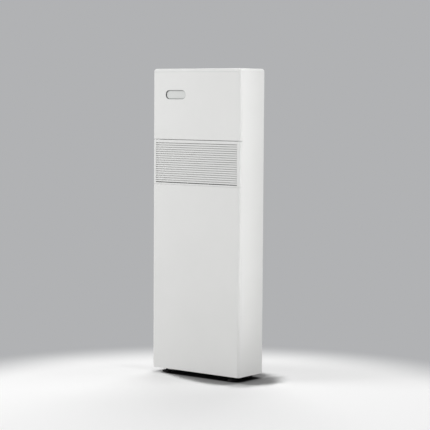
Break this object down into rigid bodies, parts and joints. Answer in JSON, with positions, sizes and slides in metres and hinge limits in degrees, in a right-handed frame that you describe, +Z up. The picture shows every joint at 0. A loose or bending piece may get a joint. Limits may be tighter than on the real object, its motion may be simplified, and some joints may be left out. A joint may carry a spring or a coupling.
{
  "type": "monoblock air conditioner",
  "caption": "Slim upright white air conditioner without outdoor unit: louvred intake, pill-shaped display window, outlet flap on top, two duct collars behind, black levelling feet.",
  "frame": {"origin": "on the floor, under the middle of the case", "axes": "+Z up, front faces -Y, +X to the right seen from the front; the case is 500 wide along X and 185 deep along Y"},
  "size_m": [0.5, 0.185, 1.398],
  "materials": {
    "white_paint": "smooth satin powder coat, cool white",
    "white_plastic": "smooth moulded plastic, colour matched to the covers",
    "window_tint": "glossy, faintly green grey, printed from behind",
    "dark_plastic": "fine moulded grain",
    "black_paint": "matt black powder coat",
    "black_rubber": "matt",
    "zinc_sheet": "galvanised, faint spangle",
    "rear_paint": "satin powder coat",
    "fin_aluminium": "thin bright fins",
    "copper": "drawn copper, dull",
    "motor_steel": "turned and pressed",
    "foam_white": "moulded housing, matt",
    "filter_plastic": "moulded",
    "net": "fine knitted plastic net",
    "board_green": "circuit board lacquer",
    "cream_plastic": "moulded terminal block",
    "bush_plastic": "self-lubricating bush"
  },
  "bodies": {
    "root": {"base_tray": "black_paint", "rear_panel": "rear_paint", "left_side_cover": "white_paint", "right_side_cover": "white_paint", "top_cap": "white_plastic", "upper_front_cover": "white_paint", "lower_front_cover": "white_paint", "left_upright": "zinc_sheet", "right_upright": "zinc_sheet", "top_deck": "zinc_sheet", "partition_plate": "zinc_sheet", "display_window": "window_tint", "display_carrier": "dark_plastic", "display_board": "board_green", "flap_motor": "motor_steel", "outlet_vanes": "dark_plastic", "indoor_fan_motor": "motor_steel", "rotor_bush": "bush_plastic", "scroll_housing": "foam_white", "evaporator_coil": "fin_aluminium", "evaporator_tubes": "copper", "drip_tray": "dark_plastic", "drain_pipe": "dark_plastic", "condenser_coil": "fin_aluminium", "condenser_tubes": "copper", "condenser_shroud": "zinc_sheet", "fan_box": "zinc_sheet", "inlet_ring": "dark_plastic", "wheel_motor": "motor_steel", "motor_bracket": "zinc_sheet", "upper_duct_collar": "dark_plastic", "lower_duct_collar": "dark_plastic", "compressor": "black_paint", "compressor_mounts": "black_rubber", "accumulator": "black_paint", "suction_elbow": "copper", "discharge_pipe": "copper", "suction_pipe": "copper", "liquid_pipe": "copper", "valve_pipes": "copper", "reversing_valve": "copper", "control_box": "zinc_sheet", "control_board": "board_green", "terminal_block": "cream_plastic", "foot_nuts": "motor_steel", "drain_spigot": "dark_plastic", "cable_gland": "dark_plastic", "cover_screws": "motor_steel"},
    "outlet_flap": {"outlet_flap": "white_plastic"},
    "crossflow_rotor": {"indoor_rotor": "dark_plastic"},
    "radial_wheel": {"fan_wheel": "dark_plastic"},
    "grille": {"intake_grille": "white_plastic", "filter_frame": "filter_plastic", "filter_net": "net"},
    "foot_front_left": {"foot_front_left": "black_rubber"},
    "foot_front_right": {"foot_front_right": "black_rubber"},
    "foot_back_left": {"foot_back_left": "black_rubber"},
    "foot_back_right": {"foot_back_right": "black_rubber"}
  },
  "joints": [
    {"name": "flap_hinge", "type": "hinge", "parent": "root", "child": "outlet_flap", "pos_m": [0, 0.0375, 1.3938], "axis": [-1, 0, 0], "range_deg": [0, 80]},
    {"name": "rotor_spin", "type": "hinge", "parent": "root", "child": "crossflow_rotor", "pos_m": [0, 0.02, 1.265], "axis": [1, 0, 0], "continuous": true},
    {"name": "wheel_spin", "type": "hinge", "parent": "root", "child": "radial_wheel", "pos_m": [0, 0, 0.705], "axis": [0, 1, 0], "continuous": true},
    {"name": "grille_pull", "type": "slide", "parent": "root", "child": "grille", "axis": [0, -1, 0], "range_m": [0, 0.045]},
    {"name": "foot_front_left_screw", "type": "slide", "parent": "root", "child": "foot_front_left", "axis": [0, 0, 1], "range_m": [-0.012, 0]},
    {"name": "foot_front_right_screw", "type": "slide", "parent": "root", "child": "foot_front_right", "axis": [0, 0, 1], "range_m": [-0.012, 0]},
    {"name": "foot_back_left_screw", "type": "slide", "parent": "root", "child": "foot_back_left", "axis": [0, 0, 1], "range_m": [-0.012, 0]},
    {"name": "foot_back_right_screw", "type": "slide", "parent": "root", "child": "foot_back_right", "axis": [0, 0, 1], "range_m": [-0.012, 0]}
  ]
}
